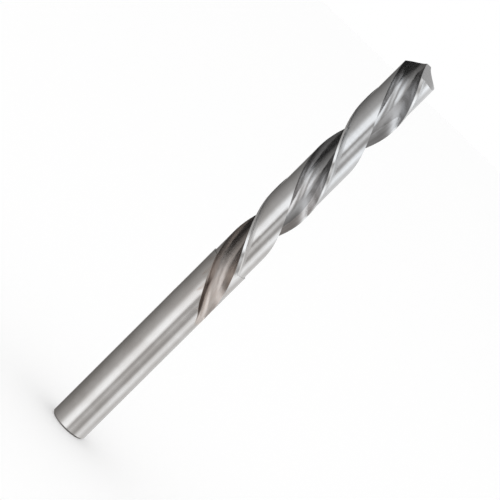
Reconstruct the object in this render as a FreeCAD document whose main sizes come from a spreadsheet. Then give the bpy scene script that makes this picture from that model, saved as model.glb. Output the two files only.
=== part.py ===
import FreeCAD, Part
import math
import os

import Sketcher
from FreeCAD import Vector

# A two-flute twist drill, ground all over from one round bar. It stands on its shank end,
# with its axis on Z, the origin at the centre of the shank end and the point on top.
# The helix is left-handed, so seen from the point the drill cuts clockwise.

NODE = "twist_drill"
FLUTES = 2

# Driving sizes, in millimetres and degrees: name, value, meaning.
SIZES = [
    ("overall_length", 151.0, "shank end to the tip of the chisel edge"),
    ("drill_diameter", 12.5, "over the margins, at the point"),
    ("shank_diameter", 12.4, "a little less, as the fluted part narrows evenly towards it"),
    ("shank_chamfer", 0.6, "45 degree chamfer round the shank end"),
    ("flute_length", 102.2, "tip to the last trace of the flutes"),
    ("run_out_length", 32.7, "end of the flute length, in which the flutes rise to the surface"),
    ("run_out_lean", 12.0, "turn of that rise away from the core, towards the rake face"),
    ("helix_lead", 74.0, "advance of the helix in one turn"),
    ("web_at_point", 1.6, "core between the flutes at the point"),
    ("web_at_run_out", 3.0, "core between the flutes where the run-out starts"),
    ("flute_angle_at_point", 94.0, "opening of a flute at the surface, at the point"),
    ("flute_angle_at_run_out", 80.5, "opening of a flute at the surface, where the run-out starts"),
    ("rake_radius", 9.6, "hollow of the rake face, which makes the lips straight"),
    ("heel_radius", 3.5, "hollow of the flute bottom and of its heel side"),
    ("margin_width", 0.85, "strip of full diameter behind each leading edge"),
    ("body_diameter", 11.8, "over the relieved lands"),
    ("clearance_length", 82.0, "tip to the step at which the relieved lands start"),
    ("clearance_fillet", 1.0, "hollow between a margin and its relieved land"),
    ("point_angle", 118.0, "included angle of the point"),
    ("lip_clearance", 6.0, "fall of the flank behind the lip, at its outer corner"),
    ("flank_radius", 11.4, "round of each flank, ground as part of a cylinder"),
    ("overrun", 0.6, "how far the grinding cuts reach past the finished surface"),
]

# Sizes that follow from the driving ones: name, formula.
DERIVED = [
    ("drill_radius", "drill_diameter / 2"),
    ("shank_radius", "shank_diameter / 2"),
    ("shank_length", "overall_length - flute_length"),
    ("body_radius", "body_diameter / 2"),
    ("outer_reach", "drill_radius + overrun"),
    ("fillet_reach", "drill_radius + overrun / 4"),
    ("blank_height", "overall_length + overrun"),
    ("half_web", "web_at_point / 2"),
    ("half_web_at_run_out", "web_at_run_out / 2"),
    ("half_point", "point_angle / 2"),
    ("lip_reach", "sqrt(drill_radius ^ 2 - half_web ^ 2)"),
    ("lip_angle", "asin(half_web / drill_radius) / 1 deg"),
    # the flank's cylinder lies ahead of the lip, so that the flank falls away behind it
    ("flank_turn", "atan(tan(lip_clearance) * sin(half_point)) / 1 deg"),
    ("flank_offset", "half_web + flank_radius * sin(flank_turn)"),
    ("flank_height", "overall_length + (flank_radius - sqrt(flank_radius ^ 2"
                     " - flank_offset ^ 2)) / sin(half_point)"),
    ("corner_height", "flank_height - lip_reach / tan(half_point)"
                      " - flank_radius * (1 - cos(flank_turn)) / sin(half_point)"),
    ("run_out_height", "overall_length - flute_length + run_out_length"),
    # how far, and which way, the flute's void moves off the core until it has left the bar
    ("heel_angle_at_run_out", "180 - lip_angle - flute_angle_at_run_out"),
    ("bottom_distance", "heel_radius + half_web_at_run_out"),
    ("lift_angle", "heel_angle_at_run_out + acos((drill_radius ^ 2 + bottom_distance ^ 2"
                   " - heel_radius ^ 2) / (2 * drill_radius * bottom_distance)) / 1 deg"
                   " + run_out_lean"),
    ("lift", "sqrt((drill_radius + heel_radius) ^ 2 - (bottom_distance * sin(run_out_lean)) ^ 2)"
             " - bottom_distance * cos(run_out_lean)"),
    ("margin_angle", "margin_width / drill_radius * 180 / pi"),
    ("relief_angle", "180 - margin_angle - flute_angle_at_run_out / 2"),
    ("relief_height", "overall_length - clearance_length"),
]

FULL_DEPTH_SECTIONS = 4
RUN_OUT_SECTIONS = 8
RUN_OUT_REACH = 1.06  # the cut is swept on until it has left the bar
BALANCE = 0.005  # the most that the centre of mass may be off the axis


def make_sheet(doc):
    """The driving sizes and what follows from them, as aliased cells."""
    sheet = doc.addObject("Spreadsheet::Sheet", "sizes")
    for row, (name, value, meaning) in enumerate(SIZES, start=1):
        sheet.set(f"A{row}", meaning)
        sheet.set(f"B{row}", str(value))
        sheet.setAlias(f"B{row}", name)
    for row, (name, formula) in enumerate(DERIVED, start=len(SIZES) + 1):
        sheet.setAlias(f"B{row}", name)
        sheet.set(f"B{row}", "=" + formula)
    doc.recompute()
    return sheet


def origin_item(body, role):
    """The body's own plane or axis with that role."""
    return next(item for item in body.Origin.OriginFeatures if item.Role == role)


def add_sketch(body, name, role):
    """An empty sketch on one of the body's own planes."""
    sketch = body.newObject("Sketcher::SketchObject", name)
    sketch.AttachmentSupport = [(origin_item(body, role), "")]
    sketch.MapMode = "FlatFace"
    return sketch


def add_outline(sketch, corners, closed):
    """Lines from corner to corner, joined end to end. Returns their numbers."""
    ends = corners[1:] + corners[:1] if closed else corners[1:]
    lines = [
        sketch.addGeometry(Part.LineSegment(Vector(*start), Vector(*end)))
        for start, end in zip(corners, ends)
    ]
    for line, following in zip(lines, lines[1:] + lines[:1] if closed else lines[1:]):
        sketch.addConstraint(Sketcher.Constraint("Coincident", line, 2, following, 1))
    return lines


def drawn_size(sketch, kind, places):
    """What a dimension measures on the sketch as drawn."""
    if kind == "Radius":
        return sketch.Geometry[places[0]].Radius
    if kind == "Angle":
        line = sketch.Geometry[places[0]]
        way = line.EndPoint - line.StartPoint
        return math.atan2(way.y, way.x)
    way = sketch.getPoint(*places[2:]) - sketch.getPoint(*places[:2])
    return {"DistanceX": way.x, "DistanceY": way.y, "Distance": way.Length}[kind]


def bind(sketch, name, formula, kind, *places):
    """A named dimension of a sketch, which the sheet drives from its drawn size on."""
    drawn = drawn_size(sketch, kind, places)
    index = sketch.addConstraint(Sketcher.Constraint(kind, *places, drawn))
    sketch.renameConstraint(index, name)
    sketch.setExpression("Constraints." + name, formula)


def add_blank(body, sheet):
    """The round bar, turned about the drill's axis. Over the flute length it widens slightly
    towards the point, so that the margins don't rub behind the lips."""
    sketch = add_sketch(body, "blank_profile", "XZ_Plane")
    shank_radius = sheet.shank_radius
    chamfer = sheet.shank_chamfer
    top = sheet.blank_height
    corners = [(0, 0), (shank_radius - chamfer, 0), (shank_radius, chamfer),
               (shank_radius, sheet.shank_length), (sheet.drill_radius, top), (0, top)]
    lines = add_outline(sketch, corners, closed=True)
    end_face, chamfer_line, shank_line, taper_line, top_line, axis = lines
    sketch.addConstraint(Sketcher.Constraint("Coincident", end_face, 1, -1, 1))
    for line in (end_face, top_line):
        sketch.addConstraint(Sketcher.Constraint("Horizontal", line))
    for line in (shank_line, axis):
        sketch.addConstraint(Sketcher.Constraint("Vertical", line))
    for name, kind, line in (
        ("shank_radius", "DistanceX", shank_line),
        ("shank_length", "DistanceY", shank_line),
        ("drill_radius", "DistanceX", taper_line),
        ("blank_height", "DistanceY", taper_line),
    ):
        bind(sketch, name, "sizes." + name, kind, -1, 1, line, 2)
    for kind, name in (("DistanceX", "chamfer_width"), ("DistanceY", "chamfer_height")):
        bind(sketch, name, "sizes.shank_chamfer", kind, chamfer_line, 1, chamfer_line, 2)
    blank = body.newObject("PartDesign::Revolution", "blank")
    blank.Profile = sketch
    blank.ReferenceAxis = (sketch, ["V_Axis"])
    blank.Angle = 360
    return blank


def circle_crossing(first, first_radius, second, second_radius):
    """Where two circles cross, on the left of the way from the first to the second."""
    way = second - first
    along = (way.Length**2 + first_radius**2 - second_radius**2) / (2 * way.Length)
    aside = math.sqrt(first_radius**2 - along**2)
    way.normalize()
    return first + way * along + Vector(-way.y, way.x) * aside


def add_arc(sketch, centre, start, end):
    """An arc about centre, anticlockwise from start to end."""
    circle = Part.Circle(centre, Vector(0, 0, 1), (start - centre).Length)
    angles = [math.atan2(p.y - centre.y, p.x - centre.x) for p in (start, end)]
    return sketch.addGeometry(Part.ArcOfCircle(circle, angles[0], angles[1]))


def add_flute_section(body, sheet, name, height, half_web, opening, lift):
    """A cross-section of the void of one flute: the hollow rake face, the rounder bottom and
    heel side, and three lines outside the bar. The lip is on the left and the void opens
    upwards. The last four arguments are formulas over the sheet."""
    sketch = add_sketch(body, name, "XY_Plane")
    turn = f"(sizes.corner_height - ({height})) / sizes.helix_lead * 360"
    for target, formula in (
        ("Base.x", f"({lift}) * cos({turn} + sizes.lift_angle)"),
        ("Base.y", f"({lift}) * sin({turn} + sizes.lift_angle)"),
        ("Base.z", height),
        ("Rotation.Angle", turn),
    ):
        sketch.setExpression("AttachmentOffset." + target, formula)
    heel_angle = f"(180 - sizes.lip_angle - ({opening}))"

    # drawn at the size that it has at the point, then brought to its own size by its dimensions
    radius, rake, heel = sheet.drill_radius, sheet.rake_radius, sheet.heel_radius
    reach = sheet.outer_reach
    axis = Vector()
    lip = Vector(-sheet.lip_reach, sheet.half_web)
    at_heel = math.radians(180 - sheet.lip_angle - sheet.flute_angle_at_point)
    heel_corner = Vector(radius * math.cos(at_heel), radius * math.sin(at_heel))
    heel_centre = circle_crossing(axis, heel + sheet.half_web, heel_corner, heel)
    rake_centre = circle_crossing(lip, rake, heel_centre, rake - heel)
    rake_start = rake_centre + Vector(-reach - rake_centre.x, 0)
    rake_start.y -= math.sqrt(rake**2 - (reach + rake_centre.x)**2)
    joint = heel_centre + (heel_centre - rake_centre).normalize() * heel
    heel_end = circle_crossing(heel_centre, heel, axis, reach)
    rake_arc = add_arc(sketch, rake_centre, rake_start, joint)
    heel_arc = add_arc(sketch, heel_centre, joint, heel_end)
    far = sheet.drill_diameter
    right, top, left = add_outline(
        sketch,
        [heel_end, (heel_end.x, far), (-reach, far), rake_start],
        closed=False,
    )
    lip_point = sketch.addGeometry(Part.Point(lip), True)
    heel_point = sketch.addGeometry(Part.Point(heel_corner), True)

    sketch.addConstraint([
        Sketcher.Constraint("Tangent", rake_arc, 2, heel_arc, 1),
        Sketcher.Constraint("Coincident", heel_arc, 2, right, 1),
        Sketcher.Constraint("Coincident", left, 2, rake_arc, 1),
        Sketcher.Constraint("Vertical", right),
        Sketcher.Constraint("Horizontal", top),
        Sketcher.Constraint("Vertical", left),
        Sketcher.Constraint("PointOnObject", lip_point, 1, rake_arc),
        Sketcher.Constraint("PointOnObject", heel_point, 1, heel_arc),
    ])
    bind(sketch, "lip_reach", "sizes.lip_reach", "DistanceX", lip_point, 1, -1, 1)
    bind(sketch, "lip_height", "sizes.half_web", "DistanceY", -1, 1, lip_point, 1)
    bind(sketch, "heel_x", f"sizes.drill_radius * cos{heel_angle}", "DistanceX",
         -1, 1, heel_point, 1)
    bind(sketch, "heel_y", f"sizes.drill_radius * sin{heel_angle}", "DistanceY",
         -1, 1, heel_point, 1)
    bind(sketch, "rake_radius", "sizes.rake_radius", "Radius", rake_arc)
    bind(sketch, "heel_radius", "sizes.heel_radius", "Radius", heel_arc)
    bind(sketch, "bottom_distance", f"sizes.heel_radius + ({half_web})", "Distance",
         -1, 1, heel_arc, 3)
    bind(sketch, "heel_reach", "sizes.outer_reach", "Distance", -1, 1, heel_arc, 2)
    bind(sketch, "rake_reach", "sizes.outer_reach", "DistanceX", rake_arc, 1, -1, 1)
    bind(sketch, "far_side", "sizes.drill_diameter", "DistanceY", -1, 1, top, 1)
    return sketch


def add_flute(doc, body, sheet):
    """One flute, swept down the helix through its sections. Over the full depth the core
    thickens and the opening narrows. Over the run-out the last section moves outwards,
    slowly and then faster, as the grinding wheel's rim leaves the bar."""
    sections = []
    for number in range(FULL_DEPTH_SECTIONS):
        share = number / (FULL_DEPTH_SECTIONS - 1)
        sections.append(add_flute_section(
            body, sheet, f"flute_section_{number + 1}",
            height=f"sizes.blank_height * (1 - {share}) + sizes.run_out_height * {share}",
            half_web=f"sizes.half_web * (1 - {share}) + sizes.half_web_at_run_out * {share}",
            opening=f"sizes.flute_angle_at_point * (1 - {share})"
                    f" + sizes.flute_angle_at_run_out * {share}",
            lift="0",
        ))
    for number in range(1, RUN_OUT_SECTIONS + 1):
        share = RUN_OUT_REACH * number / RUN_OUT_SECTIONS
        sections.append(add_flute_section(
            body, sheet, f"run_out_section_{number}",
            height=f"sizes.run_out_height - sizes.run_out_length * {share}",
            half_web="sizes.half_web_at_run_out",
            opening="sizes.flute_angle_at_run_out",
            lift=f"sizes.lift * {share ** 2}",
        ))

    lowest = f"(sizes.run_out_height - sizes.run_out_length * {RUN_OUT_REACH})"
    axis = add_sketch(body, "flute_axis", "XZ_Plane")
    line = axis.addGeometry(Part.LineSegment(Vector(0, sheet.blank_height), Vector(0, 0)))
    axis.addConstraint(Sketcher.Constraint("PointOnObject", line, 1, -2))
    axis.addConstraint(Sketcher.Constraint("PointOnObject", line, 2, -2))
    bind(axis, "top", "sizes.blank_height", "DistanceY", -1, 1, line, 1)
    bind(axis, "bottom", lowest, "DistanceY", -1, 1, line, 2)

    guide = doc.addObject("Part::Helix", "flute_helix")
    guide.LocalCoord = "Left-handed"
    guide.setExpression("Pitch", "sizes.helix_lead")
    guide.setExpression("Height", f"sizes.blank_height - {lowest}")
    guide.setExpression("Radius", "sizes.drill_diameter")
    guide.setExpression("Placement.Base.z", lowest)
    guide.setExpression("Placement.Rotation.Angle",
                        f"(sizes.corner_height - {lowest}) / sizes.helix_lead * 360")
    doc.recompute()

    flute = body.newObject("PartDesign::SubtractivePipe", "flute")
    flute.Profile = sections[0]
    flute.Spine = (axis, ["Edge1"])
    flute.AuxiliarySpine = (guide, ["Edge1"])
    flute.Mode = "Auxiliary"
    flute.AuxiliaryCurvilinear = True
    flute.Transformation = "Multisection"
    flute.Sections = [(section, [""]) for section in sections[1:]]
    return flute


def add_clearance(body, sheet):
    """The body clearance of one land: all but the margin is ground back, from the point down
    to a small step. In the sketch the margin's back edge is on the X axis."""
    sketch = add_sketch(body, "clearance_section", "XY_Plane")
    sketch.setExpression("AttachmentOffset.Base.z", "sizes.blank_height")
    sketch.setExpression(
        "AttachmentOffset.Rotation.Angle",
        "180 - sizes.lip_angle + sizes.margin_angle"
        " + (sizes.corner_height - sizes.blank_height) / sizes.helix_lead * 360",
    )
    body_radius, fillet, reach = sheet.body_radius, sheet.clearance_fillet, sheet.outer_reach
    axis = Vector()
    back_edge = Vector(sheet.drill_radius, 0)
    fillet_centre = circle_crossing(axis, body_radius + fillet, back_edge, fillet)
    root = fillet_centre * (body_radius / fillet_centre.Length)
    fillet_end = circle_crossing(fillet_centre, fillet, axis, sheet.fillet_reach)
    front_end = fillet_end * (reach / sheet.fillet_reach)
    side = math.radians(sheet.relief_angle)
    inner_end = Vector(body_radius * math.cos(side), body_radius * math.sin(side))
    outer_end = inner_end * (reach / body_radius)

    land_arc = add_arc(sketch, axis, root, inner_end)
    outer_arc = add_arc(sketch, axis, front_end, outer_end)
    fillet_arc = add_arc(sketch, fillet_centre, root, fillet_end)
    (side_line,) = add_outline(sketch, [inner_end, outer_end], closed=False)
    (front_line,) = add_outline(sketch, [fillet_end, front_end], closed=False)
    edge_point = sketch.addGeometry(Part.Point(back_edge), True)
    sketch.addConstraint([
        Sketcher.Constraint("Coincident", land_arc, 3, -1, 1),
        Sketcher.Constraint("Coincident", outer_arc, 3, -1, 1),
        Sketcher.Constraint("Coincident", land_arc, 2, side_line, 1),
        Sketcher.Constraint("Coincident", outer_arc, 2, side_line, 2),
        Sketcher.Constraint("Coincident", outer_arc, 1, front_line, 2),
        Sketcher.Constraint("Coincident", fillet_arc, 2, front_line, 1),
        Sketcher.Constraint("Tangent", fillet_arc, 1, land_arc, 1),
        Sketcher.Constraint("PointOnObject", -1, 1, side_line),
        Sketcher.Constraint("PointOnObject", -1, 1, front_line),
        Sketcher.Constraint("PointOnObject", edge_point, 1, -1),
        Sketcher.Constraint("PointOnObject", edge_point, 1, fillet_arc),
    ])
    bind(sketch, "edge_radius", "sizes.drill_radius", "DistanceX", -1, 1, edge_point, 1)
    bind(sketch, "land_radius", "sizes.body_radius", "Radius", land_arc)
    bind(sketch, "outer_radius", "sizes.outer_reach", "Radius", outer_arc)
    bind(sketch, "fillet_radius", "sizes.clearance_fillet", "Radius", fillet_arc)
    bind(sketch, "fillet_reach", "sizes.fillet_reach", "Distance", -1, 1, fillet_arc, 2)
    bind(sketch, "side_angle", "sizes.relief_angle", "Angle", side_line)

    clearance = body.newObject("PartDesign::SubtractiveHelix", "clearance")
    clearance.Profile = sketch
    clearance.ReferenceAxis = (origin_item(body, "Z_Axis"), [""])
    clearance.Mode = "pitch-height-angle"
    clearance.LeftHanded = True
    clearance.Reversed = True
    clearance.setExpression("Pitch", "sizes.helix_lead")
    clearance.setExpression("Height", "sizes.blank_height - sizes.relief_height")
    return clearance


def add_flank(body, sheet):
    """One flank of the point, ground as part of a cylinder that runs down along the lip. Its
    sketch looks along the lip, with X out of the flank and Y away from the lip."""
    sketch = add_sketch(body, "flank_section", "XY_Plane")
    sketch.AttachmentOffset = FreeCAD.Placement(
        Vector(0, 0, sheet.flank_height), FreeCAD.Rotation(Vector(0, -1, 0), sheet.half_point))
    sketch.setExpression("AttachmentOffset.Base.z", "sizes.flank_height")
    sketch.setExpression("AttachmentOffset.Rotation.Angle", "sizes.half_point")
    round_, offset, far = sheet.flank_radius, sheet.flank_offset, sheet.drill_diameter
    low, high = -offset - round_, -offset + round_
    flank_arc = add_arc(sketch, Vector(-round_, -offset), Vector(-round_, low),
                        Vector(-round_, high))
    corners = [(-round_, high), (-round_ - far, high), (-round_ - far, far + high),
               (far, far + high), (far, low), (-round_, low)]
    lines = add_outline(sketch, corners, closed=False)
    back, back_end, above, front, below = lines
    sketch.addConstraint([
        Sketcher.Constraint("Tangent", flank_arc, 2, back, 1),
        Sketcher.Constraint("Tangent", below, 2, flank_arc, 1),
        Sketcher.Constraint("Horizontal", back),
        Sketcher.Constraint("Vertical", back_end),
        Sketcher.Constraint("Horizontal", above),
        Sketcher.Constraint("Vertical", front),
        Sketcher.Constraint("Horizontal", below),
    ])
    bind(sketch, "round", "sizes.flank_radius", "Radius", flank_arc)
    bind(sketch, "offset", "sizes.flank_offset", "DistanceY", flank_arc, 3, -1, 1)
    bind(sketch, "depth", "sizes.flank_radius", "DistanceX", flank_arc, 3, -1, 1)
    bind(sketch, "back_depth", "sizes.drill_diameter", "DistanceX", back, 2, back, 1)
    bind(sketch, "back_width", "sizes.drill_diameter", "DistanceY", back_end, 1, back_end, 2)
    bind(sketch, "front_depth", "sizes.drill_diameter", "DistanceX", -1, 1, front, 1)

    flank = body.newObject("PartDesign::Pocket", "flank")
    flank.Profile = sketch
    flank.SideType = "Symmetric"
    flank.setExpression("Length", "4 * sizes.drill_diameter")
    return flank


def add_pattern(body, name, originals):
    """Repeats cuts evenly round the drill's axis."""
    pattern = body.newObject("PartDesign::PolarPattern", name)
    pattern.Originals = originals
    pattern.Axis = (origin_item(body, "Z_Axis"), [""])
    pattern.Angle = 360
    pattern.Occurrences = FLUTES
    body.Tip = pattern
    return pattern


def main():
    doc = FreeCAD.newDocument("twist_drill")
    sheet = make_sheet(doc)
    body = doc.addObject("PartDesign::Body", NODE)
    body.Label = NODE
    steps = [add_blank(body, sheet)]
    doc.recompute()
    for cut, all_round in (
        (lambda: add_clearance(body, sheet), "clearances"),
        (lambda: add_flute(doc, body, sheet), "flutes"),
        (lambda: add_flank(body, sheet), "point"),
    ):
        steps.append(cut())
        doc.recompute()
        steps.append(add_pattern(body, all_round, [steps[-1]]))
        doc.recompute()

    for item in doc.Objects:
        if "Invalid" in item.State or "Error" in item.State:
            raise RuntimeError(f"{item.Label} failed: {item.State}")
    for before, after in zip(steps, steps[1:]):
        if after.Shape.Volume >= before.Shape.Volume:
            raise RuntimeError(f"{after.Label} cut nothing")
    # every cut stands opposite its twin, so the drill balances on its axis
    centre = body.Shape.CenterOfGravity
    if math.hypot(centre.x, centre.y) > BALANCE:
        raise RuntimeError(f"{NODE} is cut unevenly: its centre of mass is at {centre}")
    shape = body.Shape
    if shape.isNull() or not shape.isValid() or len(shape.Solids) != 1:
        raise RuntimeError(f"{NODE} isn't one valid solid")
    os.makedirs("parts", exist_ok=True)
    shape.exportStep(f"parts/{NODE}.step")


main()
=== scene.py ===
import math

import bpy
from mathutils import Matrix, Vector


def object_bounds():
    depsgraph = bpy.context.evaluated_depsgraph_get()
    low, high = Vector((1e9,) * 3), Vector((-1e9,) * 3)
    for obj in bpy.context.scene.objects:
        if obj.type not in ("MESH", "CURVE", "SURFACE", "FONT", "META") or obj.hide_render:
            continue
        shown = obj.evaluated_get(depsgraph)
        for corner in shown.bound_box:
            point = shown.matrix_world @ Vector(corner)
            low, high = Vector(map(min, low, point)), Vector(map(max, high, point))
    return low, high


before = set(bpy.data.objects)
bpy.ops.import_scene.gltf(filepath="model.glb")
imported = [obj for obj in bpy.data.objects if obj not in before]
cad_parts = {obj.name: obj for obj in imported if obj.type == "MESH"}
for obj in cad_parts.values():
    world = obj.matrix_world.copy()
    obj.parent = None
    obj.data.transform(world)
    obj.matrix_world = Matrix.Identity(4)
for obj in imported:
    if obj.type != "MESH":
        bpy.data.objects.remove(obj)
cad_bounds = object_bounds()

# The drill. One bar of hardened high-speed steel, with two flutes ground into it along a
# left-hand helix and a point ground on its end. All of it is bare ground steel, and the
# frame's node holds its whole shape, so this section gives each of its surfaces its finish.
DRILL_LENGTH = cad_bounds[1][2] - cad_bounds[0][2]
FLUTE_LENGTH = 0.1022
CLEARANCE_LENGTH = 0.082
CORNER_DEPTH = 0.0037  # from the chisel edge down to the outer corners of the lips
HELIX_LEAD = 0.074
LIP_CORNER_ANGLE = math.radians(172.65)  # where one lip ends at the drill's outside
SHANK_RADIUS = 0.0062
DRILL_RADIUS = 0.00625
BODY_RADIUS = 0.0059  # over the lands, behind their margins
MARGIN_WIDTH = 0.00085
SURFACE_DEPTH = 0.00003  # what lies this far under the bar's surface is in a flute
END_CHAMFER = 0.0006

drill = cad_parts["twist_drill"]
flute_end = DRILL_LENGTH - FLUTE_LENGTH
step_height = DRILL_LENGTH - CLEARANCE_LENGTH
corner_height = DRILL_LENGTH - CORNER_DEPTH
steel = bpy.data.materials.new("ground_steel")
steel.use_nodes = True
metal = steel.node_tree


def feed(tree, socket, value):
    """Gives a socket a link from another node, or a plain value."""
    if isinstance(value, bpy.types.NodeSocket):
        tree.links.new(value, socket)
    else:
        socket.default_value = value


def calculate(tree, operation, *values):
    node = tree.nodes.new("ShaderNodeMath")
    node.operation = operation
    for socket, value in zip(node.inputs, values):
        feed(tree, socket, value)
    return node.outputs["Value"]


def multiply_all(tree, *values):
    product = values[0]
    for value in values[1:]:
        product = calculate(tree, "MULTIPLY", product, value)
    return product


def ease(tree, value, start, end, low=0.0, high=1.0):
    """Goes softly from low to high while the value goes from start to end."""
    node = tree.nodes.new("ShaderNodeMapRange")
    node.interpolation_type = "SMOOTHSTEP"
    names = ("Value", "From Min", "From Max", "To Min", "To Max")
    for name, setting in zip(names, (value, start, end, low, high)):
        feed(tree, node.inputs[name], setting)
    return node.outputs["Result"]


def mix_values(tree, factor, first, second):
    node = tree.nodes.new("ShaderNodeMix")
    for number, setting in ((0, factor), (2, first), (3, second)):
        feed(tree, node.inputs[number], setting)
    return node.outputs[0]


def mix_colors(tree, factor, first, second):
    node = tree.nodes.new("ShaderNodeMix")
    node.data_type = "RGBA"
    for number, setting in ((0, factor), (6, first), (7, second)):
        feed(tree, node.inputs[number], setting)
    return node.outputs[2]


def grain(x, y, z, scale, detail, roughness=0.5):
    """Noise that is long where a coordinate is small and fine where it is large."""
    place = metal.nodes.new("ShaderNodeCombineXYZ")
    for socket, value in zip(place.inputs, (x, y, z)):
        feed(metal, socket, value)
    texture = metal.nodes.new("ShaderNodeTexNoise")
    texture.inputs["Scale"].default_value = scale
    texture.inputs["Detail"].default_value = detail
    texture.inputs["Roughness"].default_value = roughness
    metal.links.new(place.outputs["Vector"], texture.inputs["Vector"])
    return texture.outputs["Fac"]


# Where a spot lies: its height above the shank's end, its distance from the axis, its turn
# round the helix, and its share of the way from one leading edge round to the next.
coordinates = metal.nodes.new("ShaderNodeTexCoord")
parts = metal.nodes.new("ShaderNodeSeparateXYZ")
metal.links.new(coordinates.outputs["Object"], parts.inputs["Vector"])
x, y, height = parts.outputs
across = calculate(metal, "ADD", multiply_all(metal, x, x), multiply_all(metal, y, y))
radius = calculate(metal, "SQRT", across)
around = calculate(metal, "ARCTAN2", y, x)
turn_per_metre = 2 * math.pi / HELIX_LEAD
helix_turn = calculate(metal, "MULTIPLY_ADD", height, turn_per_metre, around)
edge_turn = LIP_CORNER_ANGLE + corner_height * turn_per_metre
turn_from_edge = calculate(metal, "SUBTRACT", helix_turn, edge_turn)
half_turns = calculate(metal, "DIVIDE", turn_from_edge, math.pi)
share_round = calculate(metal, "FRACT", half_turns)

# A flute is what lies under the bar's surface. The bar tapers a little towards the shank. Past
# the step the rake face rises above the lands, so there its share of the way round tells it.
RAKE_SHARE = 0.8
taper = (DRILL_RADIUS - SHANK_RADIUS) / FLUTE_LENGTH
radius_at_foot = SHANK_RADIUS - SURFACE_DEPTH - taper * flute_end
bar_radius = calculate(metal, "MULTIPLY_ADD", height, taper, radius_at_foot)
above_step = calculate(metal, "GREATER_THAN", height, step_height)
land_radius = mix_values(metal, above_step, bar_radius, BODY_RADIUS - SURFACE_DEPTH)
surely_flute = calculate(metal, "SUBTRACT", land_radius, 2 * SURFACE_DEPTH)
under_surface = ease(metal, radius, surely_flute, land_radius, 1.0, 0.0)
past_rake_share = calculate(metal, "GREATER_THAN", share_round, RAKE_SHARE)
on_rake = multiply_all(metal, past_rake_share, above_step)

# The flute's wheel fades out of the bar, and its last trace is a ground patch on the surface,
# which starts at the heel. Here and below, HEIGHTS are metres above the shank's end, and
# SHARES are shares of the way round, each from where a change starts to where it ends.
TRACE_BEND_HEIGHTS = (0.0505, 0.0560)
TRACE_BEND_SHARES = (0.605, 0.545)
TRACE_EDGE_SHARE = 0.015
TRACE_END_SHARES = (0.93, 0.97)
TRACE_START_HEIGHTS = (0.0488, 0.0505)
TRACE_END_HEIGHTS = (0.0650, 0.0690)
trace_start = ease(metal, height, *TRACE_BEND_HEIGHTS, *TRACE_BEND_SHARES)
trace_full = calculate(metal, "ADD", trace_start, TRACE_EDGE_SHARE)
trace = multiply_all(
    metal,
    ease(metal, share_round, trace_start, trace_full),
    ease(metal, share_round, *TRACE_END_SHARES, 1.0, 0.0),
    ease(metal, height, *TRACE_START_HEIGHTS),
    ease(metal, height, *TRACE_END_HEIGHTS, 1.0, 0.0),
)
in_flute = calculate(metal, "MAXIMUM", under_surface, on_rake)
in_flute = calculate(metal, "MAXIMUM", in_flute, trace)
in_flute = multiply_all(metal, in_flute, calculate(metal, "GREATER_THAN", height, flute_end))

# The shank and the lands are ground between centres, which leaves fine rings. They carry soft
# smudges and a few fine scratches from being handled. The shank is a little warmer and duller.
# Most of a grain's values lie in its MIDDLE, and nearly all of them in its SPREAD.
GRAIN_MIDDLE = (0.35, 0.65)
GRAIN_SPREAD = (0.3, 0.7)
RINGS_ACROSS = 30.0
RINGS_ALONG = 1500.0
SCRATCHES_AROUND = 22.0
SCRATCH_LEVELS = (0.69, 0.74)
SCRATCH_ROUGHNESS = 0.10
SHANK_COLOR_HEIGHTS = (0.06, 0.12)
SHANK_DARK = (0.585, 0.56, 0.54, 1)
SHANK_LIGHT = (0.655, 0.635, 0.618, 1)
LAND_DARK = (0.572, 0.572, 0.575, 1)
LAND_LIGHT = (0.642, 0.642, 0.645, 1)
POLISH_HEIGHTS = (0.05, 0.07)
SHANK_ROUGHNESS = 0.155
LAND_ROUGHNESS = 0.10
SMEAR_LEVELS = (0.5, 0.75)
SMEAR_ROUGHNESS = 0.03
ring_x = multiply_all(metal, x, RINGS_ACROSS)
ring_y = multiply_all(metal, y, RINGS_ACROSS)
ring_z = multiply_all(metal, height, RINGS_ALONG)
rings = grain(ring_x, ring_y, ring_z, scale=1.0, detail=5.0, roughness=0.6)
smudges = grain(x, y, height, scale=130.0, detail=4.0)
scratch_x = multiply_all(metal, around, SCRATCHES_AROUND)
scratch_grain = grain(scratch_x, height, 0.0, scale=9.0, detail=2.0)
scratches = ease(metal, scratch_grain, *SCRATCH_LEVELS)
near_shank = ease(metal, height, *SHANK_COLOR_HEIGHTS, 1.0, 0.0)
land_dark = mix_colors(metal, near_shank, LAND_DARK, SHANK_DARK)
land_light = mix_colors(metal, near_shank, LAND_LIGHT, SHANK_LIGHT)
land_color = mix_colors(metal, ease(metal, smudges, *GRAIN_MIDDLE), land_dark, land_light)
polish = ease(metal, height, *POLISH_HEIGHTS, SHANK_ROUGHNESS, LAND_ROUGHNESS)
land_roughness = calculate(metal, "MULTIPLY_ADD", scratches, SCRATCH_ROUGHNESS, polish)
smear = ease(metal, smudges, *SMEAR_LEVELS, 0.0, SMEAR_ROUGHNESS)
land_roughness = calculate(metal, "ADD", land_roughness, smear)

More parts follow.
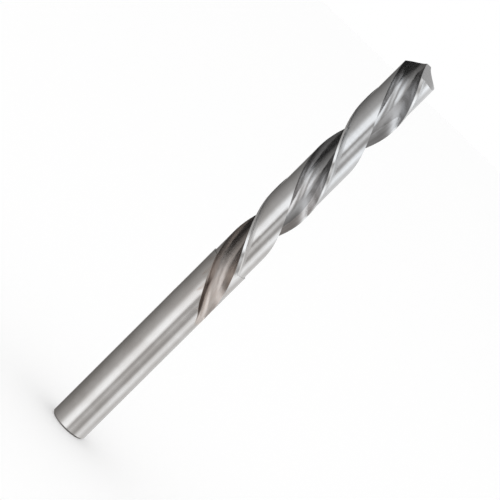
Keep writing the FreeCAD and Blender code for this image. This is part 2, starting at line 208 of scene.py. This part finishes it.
# The flutes are ground by a coarser wheel, whose streaks run along the helix. The rake side of
# each flute is painted darker, as painted shade. Towards the run-out the steel is browner and
# duller, and beside the heel a dark streak of painted shade is painted on.
STREAKS_ACROSS = 300.0
FINE_STREAKS_AROUND = 60.0
FINE_STREAKS_ACROSS = 2500.0
FINE_STREAKS_ALONG = 25.0
BROWN_HEIGHTS = (0.06, 0.115)
RUN_OUT_DARK = (0.58, 0.51, 0.465, 1)
RUN_OUT_LIGHT = (0.63, 0.575, 0.54, 1)
FLUTE_DARK = (0.52, 0.52, 0.525, 1)
FLUTE_LIGHT = (0.58, 0.58, 0.585, 1)
RAKE_SHADE_SHARES = (0.76, 0.90)
RAKE_SHADE_HEIGHTS = (0.066, 0.076)
RAKE_PAINTED_SHADE = (0.395, 0.39, 0.39, 1)
# Painted shade: a dark streak beside the heel at the run-out, broken up by the fine streaks.
HEEL_SHADE_EDGE_SHARE = 0.02
HEEL_SHADE_END_SHARES = (0.610, 0.645)
HEEL_SHADE_START_HEIGHTS = (0.0490, 0.0540)
HEEL_SHADE_AT_START = 0.4
HEEL_SHADE_END_HEIGHTS = (0.0605, 0.0645)
HEEL_SHADE_STREAK_LEVELS = (0.25, 0.6)
HEEL_SHADE_BETWEEN_STREAKS = 0.75
HEEL_PAINTED_SHADE = (0.075, 0.056, 0.046, 1)
FLUTE_ROUGHNESSES = (0.16, 0.22)
RUN_OUT_DULL_HEIGHTS = (0.062, 0.078)
RUN_OUT_DULLING = 0.16
streak_x = calculate(metal, "SINE", helix_turn)
streak_y = calculate(metal, "COSINE", helix_turn)
streak_z = multiply_all(metal, radius, STREAKS_ACROSS)
streaks = grain(streak_x, streak_y, streak_z, scale=9.0, detail=6.0, roughness=0.6)
fine_x = multiply_all(metal, share_round, FINE_STREAKS_AROUND)
fine_y = multiply_all(metal, radius, FINE_STREAKS_ACROSS)
fine_z = multiply_all(metal, height, FINE_STREAKS_ALONG)
fine_streaks = grain(fine_x, fine_y, fine_z, scale=1.0, detail=4.0, roughness=0.6)
past_run_out = ease(metal, height, *BROWN_HEIGHTS)
flute_dark = mix_colors(metal, past_run_out, RUN_OUT_DARK, FLUTE_DARK)
flute_light = mix_colors(metal, past_run_out, RUN_OUT_LIGHT, FLUTE_LIGHT)
flute_color = mix_colors(metal, ease(metal, streaks, *GRAIN_MIDDLE), flute_dark, flute_light)
# Painted shade: a darker colour on the rake side of each flute, above the run-out.
painted_rake_shade = multiply_all(
    metal,
    ease(metal, share_round, *RAKE_SHADE_SHARES),
    ease(metal, height, *RAKE_SHADE_HEIGHTS),
)
flute_color = mix_colors(metal, painted_rake_shade, flute_color, RAKE_PAINTED_SHADE)
# Painted shade: the dark streak beside the heel is painted on where the flute's shallow start
# would be shaded.
heel_shade_full = calculate(metal, "ADD", trace_start, HEEL_SHADE_EDGE_SHARE)
heel_painted_shade = multiply_all(
    metal,
    ease(metal, share_round, trace_start, heel_shade_full),
    ease(metal, share_round, *HEEL_SHADE_END_SHARES, 1.0, 0.0),
    ease(metal, height, *HEEL_SHADE_START_HEIGHTS, HEEL_SHADE_AT_START, 1.0),
    ease(metal, height, *HEEL_SHADE_END_HEIGHTS, 1.0, 0.0),
    ease(metal, fine_streaks, *HEEL_SHADE_STREAK_LEVELS, HEEL_SHADE_BETWEEN_STREAKS, 1.0),
)
flute_color = mix_colors(metal, heel_painted_shade, flute_color, HEEL_PAINTED_SHADE)
flute_roughness = ease(metal, streaks, *GRAIN_SPREAD, *FLUTE_ROUGHNESSES)
run_out_dull = ease(metal, height, *RUN_OUT_DULL_HEIGHTS, RUN_OUT_DULLING, 0.0)
flute_roughness = calculate(metal, "ADD", flute_roughness, run_out_dull)

# The margins are the only strips left at full diameter, and the last to be polished. The
# hollow behind each one is where the relieving wheel's corner ran, so it is duller.
MARGIN_SHARE = MARGIN_WIDTH / (math.pi * DRILL_RADIUS)
LEAST_MARGIN_RADIUS = BODY_RADIUS + 4 * SURFACE_DEPTH
MARGIN_COLOR = (0.66, 0.655, 0.65, 1)
MARGIN_ROUGHNESS = 0.12
HOLLOW_SHARE = 0.06
HOLLOW_EDGE_SHARE = 0.01
HOLLOW_ROUGHNESS = 0.38
margin = multiply_all(
    metal,
    calculate(metal, "LESS_THAN", share_round, MARGIN_SHARE),
    calculate(metal, "GREATER_THAN", radius, LEAST_MARGIN_RADIUS),
    above_step,
)
land_color = mix_colors(metal, margin, land_color, MARGIN_COLOR)
land_roughness = mix_values(metal, margin, land_roughness, MARGIN_ROUGHNESS)
hollow_fades = MARGIN_SHARE + HOLLOW_SHARE
hollow_ends = MARGIN_SHARE + 1.5 * HOLLOW_SHARE
hollow = multiply_all(
    metal,
    ease(metal, share_round, MARGIN_SHARE, MARGIN_SHARE + HOLLOW_EDGE_SHARE),
    ease(metal, share_round, hollow_fades, hollow_ends, 1.0, 0.0),
    above_step,
)
land_roughness = mix_values(metal, hollow, land_roughness, HOLLOW_ROUGHNESS)

# The two flanks of the point are ground last, straight across from lip to heel.
FLANK_SLOPE = 0.65  # only the flanks face up more steeply than this
FLANK_MARKS_ACROSS = 60.0
FLANK_MARKS_ALONG = 4.0
FLANK_DARK = (0.52, 0.52, 0.525, 1)
FLANK_LIGHT = (0.62, 0.62, 0.625, 1)
FLANK_ROUGHNESSES = (0.18, 0.28)
facing = metal.nodes.new("ShaderNodeNewGeometry")
facing_parts = metal.nodes.new("ShaderNodeSeparateXYZ")
metal.links.new(facing.outputs["True Normal"], facing_parts.inputs["Vector"])
on_flank = calculate(metal, "GREATER_THAN", facing_parts.outputs["Z"], FLANK_SLOPE)
flank_x = multiply_all(metal, x, FLANK_MARKS_ACROSS)
flank_y = multiply_all(metal, y, FLANK_MARKS_ALONG)
flank_marks = grain(flank_x, flank_y, 0.0, scale=100.0, detail=5.0, roughness=0.65)
flank_color = mix_colors(metal, ease(metal, flank_marks, *GRAIN_MIDDLE), FLANK_DARK, FLANK_LIGHT)
flank_roughness = ease(metal, flank_marks, *GRAIN_SPREAD, *FLANK_ROUGHNESSES)

# The shank's end is faced and chamfered on a lathe, which leaves rings round its middle.
END_RINGS_ACROSS = 4000.0
END_ROUGHNESSES = (0.2, 0.3)
on_end = calculate(metal, "LESS_THAN", height, END_CHAMFER)
end_ring_x = multiply_all(metal, radius, END_RINGS_ACROSS)
end_rings = grain(end_ring_x, 0.0, 0.0, scale=1.0, detail=4.0, roughness=0.6)
end_roughness = ease(metal, end_rings, *GRAIN_SPREAD, *END_ROUGHNESSES)

# Each surface takes its own finish, and all the marks left by the wheels share one shallow
# relief, into which the scratches are cut.
FINE_STREAK_PART = 0.4
SCRATCH_CUT = -0.5
RELIEF_STRENGTH = 0.15
RELIEF_DEPTH = 0.00002
color = mix_colors(metal, in_flute, land_color, flute_color)
color = mix_colors(metal, on_flank, color, flank_color)
roughness = mix_values(metal, in_flute, land_roughness, flute_roughness)
roughness = mix_values(metal, on_flank, roughness, flank_roughness)
roughness = mix_values(metal, on_end, roughness, end_roughness)
flute_marks = mix_values(metal, FINE_STREAK_PART, streaks, fine_streaks)
marks = mix_values(metal, in_flute, rings, flute_marks)
marks = mix_values(metal, on_flank, marks, flank_marks)
marks = mix_values(metal, on_end, marks, end_rings)
marks = calculate(metal, "MULTIPLY_ADD", scratches, SCRATCH_CUT, marks)
relief = metal.nodes.new("ShaderNodeBump")
relief.inputs["Strength"].default_value = RELIEF_STRENGTH
relief.inputs["Distance"].default_value = RELIEF_DEPTH
feed(metal, relief.inputs["Height"], marks)
shader = metal.nodes["Principled BSDF"]
feed(metal, shader.inputs["Base Color"], color)
feed(metal, shader.inputs["Roughness"], roughness)
metal.links.new(relief.outputs["Normal"], shader.inputs["Normal"])
shader.inputs["Metallic"].default_value = 1
for slot in drill.material_slots:
    slot.material = steel

# The floor. A matt white table top that runs on out of sight, on which the drill stands. A
# little light of its own keeps it white to the camera, and the drill's shadow still falls on it.
FLOOR_SIZE = 4.0
FLOOR_COLOR = (0.9, 0.9, 0.9, 1)
FLOOR_ROUGHNESS = 0.9
FLOOR_GLOW = 0.12
WHITE = (1, 1, 1, 1)
bpy.ops.mesh.primitive_plane_add(size=FLOOR_SIZE)
floor = bpy.context.object
floor.name = "floor"
matt_white = bpy.data.materials.new("matt_white")
matt_white.use_nodes = True
paint = matt_white.node_tree
shader = paint.nodes["Principled BSDF"]
shader.inputs["Base Color"].default_value = FLOOR_COLOR
shader.inputs["Roughness"].default_value = FLOOR_ROUGHNESS
shader.inputs["Emission Color"].default_value = WHITE
ray = paint.nodes.new("ShaderNodeLightPath")
glow = calculate(paint, "MULTIPLY", ray.outputs["Is Camera Ray"], FLOOR_GLOW)
feed(paint, shader.inputs["Emission Strength"], glow)
floor.data.materials.append(matt_white)
# The steel mirrors the studio all round, also what is below the table.
floor.visible_glossy = False

# The camera. The drill stands on its shank, and the camera is rolled so that it lies across
# the picture from the lower left to the upper right, with its point a little towards the lens.
CAMERA_DISTANCE = 0.7143
CAMERA_AZIMUTH = math.radians(-16.3)
CAMERA_TILT = math.radians(9.3)
CAMERA_ROLL = math.radians(44.84)
PIXELS_PER_RADIAN = 2443.0
PICTURE_WIDTH = 500
DRILL_MIDDLE_IN_PICTURE = (245.5, 248.2)
SENSOR_WIDTH = 36
NEAREST_SEEN = 0.01

toward_camera = Vector((
    math.cos(CAMERA_TILT) * math.cos(CAMERA_AZIMUTH),
    math.cos(CAMERA_TILT) * math.sin(CAMERA_AZIMUTH),
    math.sin(CAMERA_TILT),
))
right = Vector((-math.sin(CAMERA_AZIMUTH), math.cos(CAMERA_AZIMUTH), 0))
up = toward_camera.cross(right)
picture_right = up * math.cos(CAMERA_ROLL) + right * math.sin(CAMERA_ROLL)
picture_up = up * math.sin(CAMERA_ROLL) - right * math.cos(CAMERA_ROLL)
half_width = PICTURE_WIDTH / 2
metres_per_pixel = CAMERA_DISTANCE / PIXELS_PER_RADIAN
aside = (DRILL_MIDDLE_IN_PICTURE[0] - half_width) * metres_per_pixel
above = (half_width - DRILL_MIDDLE_IN_PICTURE[1]) * metres_per_pixel
middle = Vector((0, 0, DRILL_LENGTH / 2))
lens = middle + toward_camera * CAMERA_DISTANCE - picture_right * aside - picture_up * above
bpy.ops.object.camera_add()
camera = bpy.context.object
camera.name = "camera"
camera.data.sensor_width = SENSOR_WIDTH
camera.data.lens = PIXELS_PER_RADIAN / PICTURE_WIDTH * SENSOR_WIDTH
camera.data.clip_start = NEAREST_SEEN
turned = Matrix((picture_right, picture_up, toward_camera)).transposed().to_4x4()
camera.matrix_world = Matrix.Translation(lens) @ turned
bpy.context.scene.camera = camera
bpy.context.scene.view_settings.view_transform = "Standard"

# The studio. An even white room lights the drill and the floor. Bare steel has no look of its
# own but mirrors what stands round it, so its reflections see bright and dark screens instead.
# They hang in rings round the drill, one above the other.
studio = bpy.data.worlds.new("studio")
bpy.context.scene.world = studio
studio.use_nodes = True
room = studio.node_tree
direction = room.nodes.new("ShaderNodeTexCoord")
facing_camera = room.nodes.new("ShaderNodeVectorRotate")
facing_camera.rotation_type = "Z_AXIS"
facing_camera.inputs["Angle"].default_value = -CAMERA_AZIMUTH
room.links.new(direction.outputs["Generated"], facing_camera.inputs["Vector"])
ways = room.nodes.new("ShaderNodeSeparateXYZ")
room.links.new(facing_camera.outputs["Vector"], ways.inputs["Vector"])
angle_round = calculate(room, "ARCTAN2", ways.outputs["Y"], ways.outputs["X"])
full_circle = calculate(room, "MULTIPLY_ADD", angle_round, 1 / (2 * math.pi), 0.5)
rise = ways.outputs["Z"]

# Each ring lists its light against the angle round the drill from the camera, in degrees.
# Screens dimmer than neutral are a little warm, and brighter ones a little cool.
SCREEN_WARMTH = 0.045
NEUTRAL_LIGHT = 0.75


def screens(stops):
    node = room.nodes.new("ShaderNodeValToRGB")
    elements = node.color_ramp.elements
    lit = [((degrees + 180) / 360, light) for degrees, light in stops]
    elements[0].position = lit[0][0]
    elements[1].position = lit[-1][0]
    for place, light in lit[1:-1]:
        elements.new(place)
    for element, (place, light) in zip(elements, lit):
        warmth = SCREEN_WARMTH * (NEUTRAL_LIGHT - light)
        element.color = (light * (1 + warmth), light, light * (1 - warmth), 1)
    feed(room, node.inputs["Fac"], full_circle)
    return node.outputs["Color"]


def dim(look, gain):
    node = room.nodes.new("ShaderNodeVectorMath")
    node.operation = "SCALE"
    feed(room, node.inputs[0], look)
    feed(room, node.inputs["Scale"], gain)
    return node.outputs["Vector"]


at_floor = screens([
    (-180, 0.1), (-130, 0.35), (-110, 0.55), (-90, 0.68), (-70, 1.0), (-50, 1.2), (-30, 1.3),
    (-10, 1.3), (5, 0.75), (20, 0.42), (30, 0.34), (50, 0.28), (90, 0.3), (180, 0.1)])
below_level = screens([
    (-180, 0.03), (-150, 0.04), (-110, 0.05), (-90, 0.12), (-70, 0.27), (-50, 0.45),
    (-30, 0.88), (-10, 1.15), (10, 1.08), (30, 0.92), (50, 0.78), (90, 0.36), (130, 0.42),
    (180, 0.1)])
level = screens([
    (-180, 0.6), (-163, 0.3), (-148, 0.16), (-107, 0.28), (-90, 0.35), (-76, 0.42),
    (-51, 0.52), (-40, 0.7), (-24, 1.22), (-4, 1.35), (5, 1.0), (11, 0.46), (17, 0.48),
    (24, 0.8), (33, 0.95), (42, 0.7), (52, 0.46), (62, 0.56), (74, 1.15), (90, 1.38),
    (106, 1.05), (122, 0.82), (150, 0.85), (180, 0.6)])
above_level = screens([
    (-180, 0.08), (-110, 0.12), (-90, 0.16), (-70, 0.18), (-30, 0.16), (-10, 0.2),
    (10, 0.45), (28, 1.5), (50, 1.15), (70, 0.95), (90, 0.95), (110, 1.15), (130, 1.1),
    (150, 0.85), (180, 0.4)])
overhead = screens([
    (-180, 0.04), (-60, 0.02), (90, 0.01), (115, 0.05), (135, 0.4), (150, 0.6), (170, 0.5),
    (180, 0.1)])

# The rings' borders are heights on a ball of radius 1 round the drill. The level ring is
# brighter or dimmer by its height, and it ends higher on the camera's right side.
RIGHT_SIDE_ANGLES = (0.0, math.radians(25))
LEFT_GAIN_BORDER = (-0.16, 0.08)
LEFT_GAINS = (1.08, 0.75)
RIGHT_GAIN_BORDER = (-0.2, 0.05)
RIGHT_GAINS = (0.93, 1.2)
LEFT_LEVEL_END = (-0.05, 0.25)
RIGHT_LEVEL_END = (0.1, 0.3)
FLOOR_BORDER = (-0.64, -0.45)
LEVEL_BORDER = (-0.37, -0.26)
OVERHEAD_BORDER = (0.30, 0.42)
on_right = ease(room, angle_round, *RIGHT_SIDE_ANGLES)
left_gain = ease(room, rise, *LEFT_GAIN_BORDER, *LEFT_GAINS)
right_gain = ease(room, rise, *RIGHT_GAIN_BORDER, *RIGHT_GAINS)
level_gain = mix_values(room, on_right, left_gain, right_gain)
left_end = ease(room, rise, *LEFT_LEVEL_END)
right_end = ease(room, rise, *RIGHT_LEVEL_END)
level_end = mix_values(room, on_right, left_end, right_end)
look = mix_colors(room, ease(room, rise, *FLOOR_BORDER), at_floor, below_level)
look = mix_colors(room, ease(room, rise, *LEVEL_BORDER), look, dim(level, level_gain))
look = mix_colors(room, level_end, look, above_level)
look = mix_colors(room, ease(room, rise, *OVERHEAD_BORDER), look, overhead)
ray = room.nodes.new("ShaderNodeLightPath")
look = mix_colors(room, ray.outputs["Is Glossy Ray"], WHITE, look)
feed(room, room.nodes["Background"].inputs["Color"], look)
